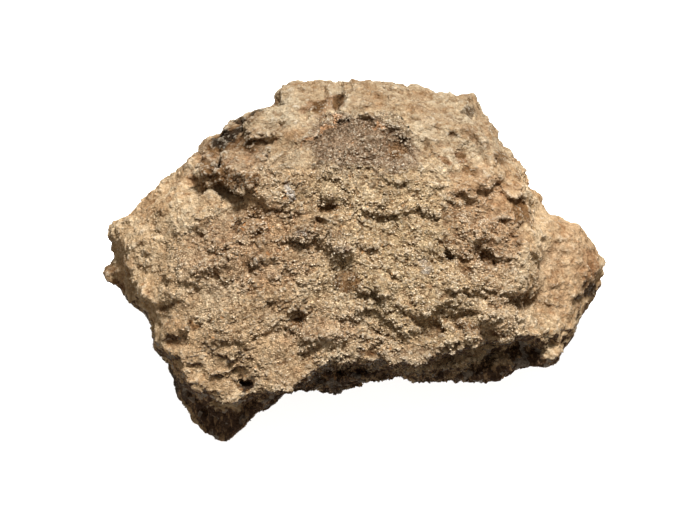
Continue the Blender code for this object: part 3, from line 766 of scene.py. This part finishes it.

# painted shade: on the undersides, below the lip and in the pits
paintedShade = {
    "leanFrom": 0.25,  # how far a surface leans over before it starts to be dark underneath
    "leanTo": -0.35,
    # places below the lip that keep the pale crust, without the painted shade: where, half sizes, turn
    "litChips": [
        ((27.8, -18.3), (3.0, 1.5), -16), ((-30.4, -29.2), (4.2, 1.0), -52),
        ((2.6, -22.2), (0.9, 0.6), 0), ((11.2, -23.0), (0.7, 1.2), 0), ((-22.4, -27.2), (2.6, 0.8), 10),
        ((-12.4, -26.2), (0.8, 0.6), 0), ((18.2, -21.4), (1.6, 0.6), 10), ((-6.4, -23.4), (0.9, 0.5), 20),
        ((6.8, -21.6), (0.8, 0.5), 0),
    ],
    # more places with painted shade in them, given as the hollows are
    "spots": [
        ((-46.2, -1.6), (1.6, 1.3), 0, 1.4), ((-44.6, -4.4), (1.3, 1.2), 0, 2.4),
        ((-4.2, 11.8), (1.2, 1.0), 0, 1.0), ((-1.0, -3.6), (3.0, 2.2), -10, 1.8),
        ((-9.6, -9.4), (2.4, 1.4), -20, 1.2), ((-24.4, 22.4), (3.8, 2.0), 38, 2.6),
        ((-20.4, 21.8), (3.4, 1.8), -10, 1.8), ((-19.2, 27.0), (2.4, 1.0), 30, 1.4),
        ((-25.2, 16.4), (4.4, 2.2), -20, 2.4), ((-20.0, 15.2), (3.4, 1.8), 0, 1.4),
        ((31.4, 10.4), (1.1, 2.8), 15, 2.0),
    ],
    "frays": [(2.6, 0.5, 0.0), (1.1, 0.5, 5.0)],
    # shallower hollows get no painted shade, and neither do wider ones
    "leastDepth": 0.9,  # shallower hollows stay clean
    "widest": 5,  # and so do wider ones
}


# painted shade lies in the hollows, more in the deep ones
def paintedShadeInPits(points):  # brown dirt lies in the hollows, more in the deep ones
    a, u, o = frayedPlaces(points, paintedShade["frays"])
    cover = np.zeros(len(points))
    for at, half, turn, deep in (*hollows.values(), *paintedShade["spots"]):
        if deep > paintedShade["leastDepth"] and half[0] < paintedShade["widest"]:
            cover = np.maximum(cover, min(1, 0.3 + 0.25 * deep) * dab(a, u, at, half, turn, 1.3, 0.7))
    return cover


# painted shade on the undersides and on all that lies below the lip, where the stone is also darker
def paintedShadeUnderneath(points, ways, ragged, fine):  # the undersides and all that lies below the lip
    a, u, o = facePlaces(points)
    a, u = a + 1.4 * ragged[0] + 0.8 * fine[0], u + 1.4 * ragged[1] + 0.8 * fine[1]
    lean = ways[:, 2] + 0.25 * ragged[0] + 0.2 * fine[0]
    under = ease((paintedShade["leanFrom"] - lean) / (paintedShade["leanFrom"] - paintedShade["leanTo"]))
    low = ease((26 + 5 * ragged[1] - points[:, 2] / mm) / 8)
    under = under * low * ease((-11 - u + 8 * (o < -12)) / 3)
    distance, side, along = lineDistance(a, u, lipLine)
    below = ease((-distance * side - 0.1) / 0.7) * ease((-13 - u) / 3) * ease((ways @ outWay + 0.7) / 0.4)
    under = np.maximum(under, below)
    for at, half, turn in paintedShade["litChips"]:
        under = under * (1 - 0.85 * dab(a, u, at, half, turn, 1.5))
    return under


def cavity(mesh):  # 0.5 on the level, towards 1 in a hollow and 0 on a crest
    points, ways = coordinates(mesh), normals(mesh)
    level, total = points, np.zeros(len(points))
    for turns, scale in ((6, 0.10), (30, 0.30)):
        level = np.stack([neighbourMean(mesh, level[:, k], turns) for k in range(3)], 1)
        total += ((level - points) * ways).sum(1) / (scale * mm)
    return 0.5 + 0.25 * total


def makeMasks(mesh):
    points, ways = coordinates(mesh), normals(mesh)
    ragged = swell(points, 3.0, 4.0), swell(points, 3.0, 44.0)
    fine = swell(points, 1.1, 8.0), swell(points, 1.1, 48.0)
    a, u, o = facePlaces(points)
    a, u = a + 1.4 * ragged[0] + 0.8 * fine[0], u + 1.4 * ragged[1] + 0.8 * fine[1]
    seen = ease((ways @ outWay + 0.5) / 0.5) * ease((o + 40) / 10)
    masks = {}
    for name, spots in dabs.items():
        cover = np.zeros(len(points))
        for at, half, turn, strength in spots:
            cover = np.maximum(cover, strength * dab(a, u, at, half, turn, 1.6, 0.9))
        masks[name] = cover * seen
    # painted shade underneath, and painted shade in the pits
    masks["under"] = paintedShadeUnderneath(points, ways, ragged, fine)
    masks["pit"] = paintedShadeInPits(points) * seen
    masks["cavity"] = cavity(mesh)
    masks["sharp"] = sharpness(points, ways)
    # painted shade, darker towards the top of the face
    masks["crown"] = ease((u + 3 * ragged[0] - 13) / 9) * (1 - masks["grey"])
    for name, values in masks.items():
        keepValues(mesh, name, np.clip(values, 0, 1))


for piece in crustPieces:
    makeMasks(piece.data)
print("masks painted")


# helpers that build nodes
def tone(r, g, b):  # a colour given as a paint program shows it
    parts = [((c / 255 + 0.055) / 1.055) ** 2.4 if c > 10 else c / 255 / 12.92 for c in (r, g, b)]
    return (*parts, 1.0)


def wire(tree, target, value):  # a socket is linked, a number or colour is set
    if isinstance(value, bpy.types.NodeSocket):
        tree.links.new(value, target)
    else:
        target.default_value = value


def addNode(tree, kind, inputs=None, **settings):  # inputs are given by name or by number
    node = tree.nodes.new(kind)
    for key, value in settings.items():
        setattr(node, key, value)
    for key, value in (inputs or {}).items():
        wire(tree, node.inputs[key], value)
    return node


def calculate(tree, operation, first, second):
    return addNode(tree, "ShaderNodeMath", {0: first, 1: second}, operation=operation).outputs[0]


def multiply(tree, first, second):
    return calculate(tree, "MULTIPLY", first, second)


def blendColours(tree, share, first, second, kind="MIX"):
    inputs = {0: share, 6: first, 7: second}
    return addNode(tree, "ShaderNodeMix", inputs, data_type="RGBA", blend_type=kind).outputs[2]


def remap(tree, value, low, high, newLow=0.0, newHigh=1.0):
    inputs = dict(enumerate((value, low, high, newLow, newHigh)))
    return addNode(tree, "ShaderNodeMapRange", inputs, interpolation_type="SMOOTHSTEP").outputs[0]


def noiseAt(tree, place, scale, detail, rough=0.6):
    inputs = {"Vector": place, "Scale": scale, "Detail": detail, "Roughness": rough}
    return addNode(tree, "ShaderNodeTexNoise", inputs).outputs["Fac"]


def readMask(tree, name):
    return addNode(tree, "ShaderNodeAttribute", attribute_name=name).outputs["Fac"]


def cellNumber(tree, cells):  # one random number for each cell
    return addNode(tree, "ShaderNodeSeparateColor", {0: cells.outputs["Color"]}).outputs[0]


def newGroup(name, inputs, outputs):
    group = bpy.data.node_groups.new(name, "ShaderNodeTree")
    for way, sockets in (("INPUT", inputs), ("OUTPUT", outputs)):
        for title, kind in sockets.items():
            group.interface.new_socket(title, in_out=way, socket_type="NodeSocket" + kind)
    given, out = group.nodes.new("NodeGroupInput"), group.nodes.new("NodeGroupOutput")
    return group, given.outputs, out.inputs


def useGroup(tree, group, **values):
    return addNode(tree, "ShaderNodeGroup", values, node_tree=group).outputs


# the crust's colours, with the painted shade and painted highlights among them
tones = {
    "tan": tone(210, 182, 144),
    "cream": tone(226, 204, 170),
    "ochre": tone(198, 164, 124),
    "yellow": tone(208, 184, 143),
    "amber": tone(218, 184, 142),
    "brown": tone(178, 140, 104),
    "worn": tone(249, 249, 248),
    # painted shade, darker towards the top of the face
    "crown": tone(220, 222, 225),
    "grey": tone(158, 134, 108),
    "rust": tone(200, 156, 116),
    "pale": tone(214, 206, 196),
    # painted shade in the pits
    "pit": tone(138, 104, 68),
    # painted shade in caves and under edges
    "dark": tone(70, 54, 38),
    # painted shade underneath
    "under": tone(88, 66, 48),
    "underLight": tone(200, 168, 132),
    # painted highlight on chips inside the painted shade
    "chipHighlight": tone(186, 176, 166),
    "stain": tone(202, 173, 140),
    "mottle": tone(190, 169, 143),
    # painted shade in the creases
    "creviceShade": tone(158, 112, 70),
    # painted highlight on the crests
    "crestHighlight": tone(238, 224, 200),
    # painted shade in the gaps between grains
    "gap": tone(172, 148, 118),
}

# where each mask starts and is full, in the order in which they are laid on
maskEdges = {
    "yellow": (0.1, 0.9),
    "amber": (0.1, 0.8),
    "brown": (0.2, 0.95),
    "grey": (0.2, 0.8),
    "pit": (0.15, 0.9),
    "under": (0.15, 0.5),
    "dark": (0.35, 1.0),
    "rust": (0.4, 0.8),
    "pale": (0.3, 0.7),
}
maskNames = [*maskEdges, "cavity", "sharp", "crown"]

# the finish: noise scales are for each metre, grains are in millimetres, shares go from 0 to 1
crust = {
    "patchScale": 230,
    "broadScale": 95,
    "broadShare": 0.7,
    "raggedScale": 420,
    "raggedShare": 0.9,
    "veinScale": 900,
    "veinStretch": (1.0, 1.0, 0.22),
    "veinShare": 0.9,
    "chipScale": 720,
    "chipShare": 0.8,
    "creviceShadeShare": 0.5,
    "crestHighlightShare": 0.5,
    "stainScale": 190,
    "stainShare": 0.55,
    "mottleScale": 640,
    "mottleShare": 0.75,
    "curdScale": 1250,
    "grainDrift": 0.0012,  # metres
    "driftScale": 1400,
    "coarseGrain": 0.62,
    "coarseGapShade": 0.45,
    "coarseHeight": 0.35,
    "fineGrain": 0.34,
    "fineGapShade": 0.3,
    "fineHeight": 0.3,
    "curdHeight": 0.8,
    "bumpDepth": 0.0006,  # metres
    "wornShare": 0.4,  # how much of grain colour and bump is left where it is worn
    "specular": 0.15,
}

# a grain's colour: from which of its own numbers on, and what it does to the crust's colour
grainStops = [
    (0.0, (0.42, 0.37, 0.32)), (0.04, (0.57, 0.52, 0.47)), (0.17, (0.78, 0.76, 0.73)),
    (0.42, (0.98, 0.98, 0.98)), (0.70, (1.14, 1.14, 1.14)), (0.90, (1.34, 1.36, 1.38)),
    (0.985, (1.32, 1.42, 1.56)), (0.993, (1.12, 0.84, 0.62)),
]


# the colour of the painted shade underneath: dark stone with lighter veins, and lighter chips as painted
# highlights
def shadeUnderneath(group, place):  # dark stone with lighter veins and chips
    stretched = addNode(group, "ShaderNodeMapping", {"Vector": place, "Rotation": (0.5, 0.5, 0.0),
        "Scale": crust["veinStretch"]}, vector_type="POINT").outputs[0]
    veins = remap(group, noiseAt(group, stretched, crust["veinScale"], 4, 0.65), 0.48, 0.64)
    veins = multiply(group, veins, crust["veinShare"])
    colour = blendColours(group, veins, tones["under"], tones["underLight"])
    inputs = {"Vector": place, "Scale": crust["chipScale"]}
    chips = addNode(group, "ShaderNodeTexVoronoi", inputs, feature="F1")
    lit = multiply(group, remap(group, cellNumber(group, chips), 0.72, 0.86), crust["chipShare"])
    return blendColours(group, lit, colour, tones["chipHighlight"])


def makeToneGroup():  # the crust's colour before its grains
    inputs = {"Place": "Vector", **{name: "Float" for name in maskNames}}
    group, given, out = newGroup("crustTones", inputs, {"Colour": "Color"})
    place = given["Place"]
    patch = remap(group, noiseAt(group, place, crust["patchScale"], 5), 0.36, 0.66)
    colour = blendColours(group, patch, tones["tan"], tones["cream"])
    broad = remap(group, noiseAt(group, place, crust["broadScale"], 4), 0.42, 0.70)
    colour = blendColours(group, multiply(group, broad, crust["broadShare"]), colour, tones["ochre"])
    ragged = noiseAt(group, place, crust["raggedScale"], 5, 0.7)
    underneath = shadeUnderneath(group, place)
    shift = multiply(group, calculate(group, "SUBTRACT", ragged, 0.5), crust["raggedShare"])
    for name, (low, high) in maskEdges.items():
        cover = remap(group, calculate(group, "ADD", given[name], shift), low, high)
        cover = multiply(group, cover, remap(group, given[name], 0.0, 0.1))
        colour = blendColours(group, cover, colour, underneath if name == "under" else tones[name])
    # painted shade in the hollows and painted highlights on the crests, both from the cavity mask
    hollow = multiply(group, remap(group, given["cavity"], 0.55, 0.95), crust["creviceShadeShare"])
    colour = blendColours(group, hollow, colour, tones["creviceShade"], "MULTIPLY")
    # painted highlight on the crests, kept out of the painted shade underneath
    crestHighlight = multiply(group, remap(group, given["cavity"], 0.45, 0.05), crust["crestHighlightShare"])
    crestHighlight = multiply(group, crestHighlight, remap(group, given["under"], 0.4, 0.0))
    colour = blendColours(group, crestHighlight, colour, tones["crestHighlight"])
    worn = calculate(group, "SUBTRACT", 1.0, given["sharp"])
    for name, rough, high in (("stain", 0.65, 0.68), ("mottle", 0.7, 0.62)):
        spots = remap(group, noiseAt(group, place, crust[name + "Scale"], 4, rough), 0.50, high)
        spots = multiply(group, multiply(group, spots, worn), crust[name + "Share"])
        colour = blendColours(group, spots, colour, tones[name], "MULTIPLY")
    # the worn parts made a little darker, then painted shade darker towards the top
    for share, name in ((worn, "worn"), (given["crown"], "crown")):
        colour = blendColours(group, share, colour, tones[name], "MULTIPLY")
    wire(group, out["Colour"], colour)
    return group


def makeGrainGroup():  # sand grains: their height, the gaps between, and a number of their own
    group, given, out = newGroup("sandGrain", {"Place": "Vector", "Size": "Float"},
        {"Height": "Float", "Gap": "Float", "Own": "Float"})
    drift = addNode(group, "ShaderNodeTexNoise", {"Vector": given["Place"], "Scale": crust["driftScale"]})
    push = addNode(group, "ShaderNodeVectorMath", {0: drift.outputs["Color"], 1: (crust["grainDrift"],) * 3,
        2: given["Place"]}, operation="MULTIPLY_ADD")
    inputs = {"Vector": push.outputs[0], "Scale": calculate(group, "DIVIDE", 1000.0, given["Size"])}
    cells = addNode(group, "ShaderNodeTexVoronoi", inputs, feature="F1")
    wire(group, out["Height"], calculate(group, "SUBTRACT", 1.0, cells.outputs["Distance"]))
    wire(group, out["Gap"], remap(group, cells.outputs["Distance"], 0.38, 0.64))
    wire(group, out["Own"], cellNumber(group, cells))
    return group


def makeSpeckGroup():  # turns a grain's own number into its colour
    group, given, out = newGroup("grainColour", {"Colour": "Color", "Own": "Float", "Spread": "Float"},
        {"Colour": "Color"})
    ramp = addNode(group, "ShaderNodeValToRGB", {0: given["Own"]})
    ramp.color_ramp.interpolation = "CONSTANT"
    while len(ramp.color_ramp.elements) < len(grainStops):
        ramp.color_ramp.elements.new(0.5)
    for element, (at, colour) in zip(ramp.color_ramp.elements, grainStops):
        element.position = at
        element.color = (*colour, 1)
    shade = blendColours(group, given["Spread"], (1, 1, 1, 1), ramp.outputs[0])
    wire(group, out["Colour"], blendColours(group, 1.0, given["Colour"], shade, "MULTIPLY"))
    return group


crustTones, sandGrain, grainColour = makeToneGroup(), makeGrainGroup(), makeSpeckGroup()


def startStone(name):  # a dull material with the crust's colour, and how crisp each place is
    material, tree, shader = newMaterial(name)
    shader.inputs["Specular IOR Level"].default_value = crust["specular"]
    place = addNode(tree, "ShaderNodeTexCoord").outputs["Object"]
    masks = {mask: readMask(tree, mask) for mask in maskNames}
    colour = useGroup(tree, crustTones, Place=place, **masks)["Colour"]
    crisp = remap(tree, masks["sharp"], 0.0, 1.0, crust["wornShare"], 1.0)
    return material, tree, shader, place, colour, crisp


def makeCrustMaterial():
    material, tree, shader, place, colour, crisp = startStone("sandstoneCrust")
    coarse = useGroup(tree, sandGrain, Place=place, Size=crust["coarseGrain"])
    fine = useGroup(tree, sandGrain, Place=place, Size=crust["fineGrain"])
    colour = useGroup(tree, grainColour, Colour=colour, Own=coarse["Own"], Spread=crisp)["Colour"]
    # painted shade in the gaps between the grains
    gaps = calculate(tree, "MAXIMUM", multiply(tree, coarse["Gap"], crust["coarseGapShade"]),
        multiply(tree, fine["Gap"], crust["fineGapShade"]))
    colour = blendColours(tree, multiply(tree, gaps, crisp), colour, tones["gap"], "MULTIPLY")
    wire(tree, shader.inputs["Base Color"], colour)
    wire(tree, shader.inputs["Roughness"], remap(tree, fine["Own"], 0.9, 1.0, 0.95, 0.6))
    curds = remap(tree, noiseAt(tree, place, crust["curdScale"], 4, 0.72), 0.36, 0.62)
    height = calculate(tree, "ADD", multiply(tree, fine["Height"], crust["fineHeight"]),
        multiply(tree, curds, crust["curdHeight"]))
    height = calculate(tree, "ADD", multiply(tree, coarse["Height"], crust["coarseHeight"]), height)
    bump = addNode(tree, "ShaderNodeBump", {"Distance": crust["bumpDepth"], "Strength": 1.0,
        "Height": multiply(tree, height, crisp)})
    wire(tree, shader.inputs["Normal"], bump.outputs[0])
    return material


def makeGrainMaterial():
    material, tree, shader, place, colour, crisp = startStone("sandGrains")
    own = readMask(tree, "own")
    colour = useGroup(tree, grainColour, Colour=colour, Own=own, Spread=crisp)["Colour"]
    wire(tree, shader.inputs["Base Color"], colour)
    wire(tree, shader.inputs["Roughness"], remap(tree, own, 0.85, 0.97, 0.9, 0.45))
    return material


sandstone, sandGrains = makeCrustMaterial(), makeGrainMaterial()
for piece in crustPieces:
    piece.data.materials.append(sandstone)
print("crust finished")

# loose sand grains: what they lie on, width and least gap in millimetres, rings, seed
grainLayers = {
    "grains_left": (sheetPieces[0], 0.31, 0.32, 2, 23),
    "grains_right": (sheetPieces[1], 0.31, 0.32, 2, 29),
    "grains_rim_left": (sheetPieces[2], 0.30, 0.42, 2, 37),
    "grains_rim_right": (sheetPieces[3], 0.30, 0.42, 2, 39),
    "grains_back": (hornPiece, 0.50, 0.55, 2, 41),
    "grains_large": (hornPiece, 0.80, 1.70, 3, 11),
}
grain = {
    "turnLeast": (0.0, -0.8, -0.8),
    "turnMost": (6.3, 0.8, 0.8),
    "sizeLeast": (0.7, 0.5, 0.5),
    "sizeMost": (1.9, 1.15, 1.15),
    "wornSize": 0.75,  # a grain's size where the crust is worn, as a share of the rest
    "crowding": 1.6,
    "largeShare": 0.3,
}


def coverWithGrains(mesh):  # how thickly each layer of grains covers each place
    points = coordinates(mesh)
    patchy = ease(0.75 + 1.4 * swell(points, 5.0, 61.0))
    patchy *= 1 - 1.4 * calmness(points)
    bare = widestZone(mesh) < sheet["reach"] + 0.1
    special = {"grains_back": bare, "grains_large": grain["largeShare"] * patchy * bare}
    for name, layer in grainLayers.items():
        if layer[0].data == mesh:
            keepValues(mesh, "cover_" + name, special.get(name, 0.2 + 0.8 * patchy))


def randomWay(tree, least, most, seed):
    inputs = {"Min": grain[least], "Max": grain[most], "Seed": seed}
    return addNode(tree, "FunctionNodeRandomValue", inputs, data_type="FLOAT_VECTOR").outputs[0]


def readAttribute(tree, name):
    node = addNode(tree, "GeometryNodeInputNamedAttribute", {"Name": name}, data_type="FLOAT")
    return node.outputs["Attribute"]


def makeGrains(name, host, wide, gap, rings, seed):
    tree = bpy.data.node_groups.new(name, "GeometryNodeTree")
    for way in ("INPUT", "OUTPUT"):
        tree.interface.new_socket("Geometry", in_out=way, socket_type="NodeSocketGeometry")
    given, out = tree.nodes.new("NodeGroupInput"), tree.nodes.new("NodeGroupOutput")
    spread = addNode(tree, "GeometryNodeDistributePointsOnFaces", {
        "Mesh": given.outputs[0],
        "Distance Min": gap * mm,
        "Density Max": grain["crowding"] / (gap * mm) ** 2,
        "Seed": seed,
        "Density Factor": readAttribute(tree, "cover_" + name),
    }, distribute_method="POISSON")
    inputs = {"Segments": 4, "Rings": rings, "Radius": wide / 2 * mm}
    ball = addNode(tree, "GeometryNodeMeshUVSphere", inputs)
    growth = multiply(tree, readAttribute(tree, "sharp"), 1.0 - grain["wornSize"])
    size = addNode(tree, "ShaderNodeVectorMath", {
        0: randomWay(tree, "sizeLeast", "sizeMost", seed + 2),
        "Scale": calculate(tree, "ADD", growth, grain["wornSize"]),
    }, operation="SCALE")
    placed = addNode(tree, "GeometryNodeInstanceOnPoints", {
        "Points": spread.outputs["Points"],
        "Instance": ball.outputs["Mesh"],
        "Rotation": randomWay(tree, "turnLeast", "turnMost", seed + 1),
        "Scale": size.outputs[0],
    })
    own = addNode(tree, "FunctionNodeRandomValue", {"Seed": seed + 3}, data_type="FLOAT")
    numbered = addNode(tree, "GeometryNodeStoreNamedAttribute", {
        "Name": "own",
        "Geometry": placed.outputs[0],
        "Value": own.outputs[1],
    }, data_type="FLOAT", domain="INSTANCE")
    real = addNode(tree, "GeometryNodeRealizeInstances", {0: numbered.outputs[0]})
    wire(tree, out.inputs[0], real.outputs[0])
    grains = addPiece(name, host.data)
    applyModifier(grains, "NODES", node_group=tree)
    bpy.data.node_groups.remove(tree)
    grains.data.materials.clear()
    grains.data.materials.append(sandGrains)
    for attribute in [key for key in grains.data.attributes.keys() if key.startswith("cover_")]:
        grains.data.attributes.remove(grains.data.attributes[attribute])
    print(name, "has", countTriangles(grains.data), "triangles")
    return grains


for piece in crustPieces:
    coverWithGrains(piece.data)
grainPieces = [makeGrains(name, *layer) for name, layer in grainLayers.items()]

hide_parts("cheek_horn")
for piece in (*crustPieces, *grainPieces):
    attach(piece, "root")
print("pieces ride on the horn's one body")
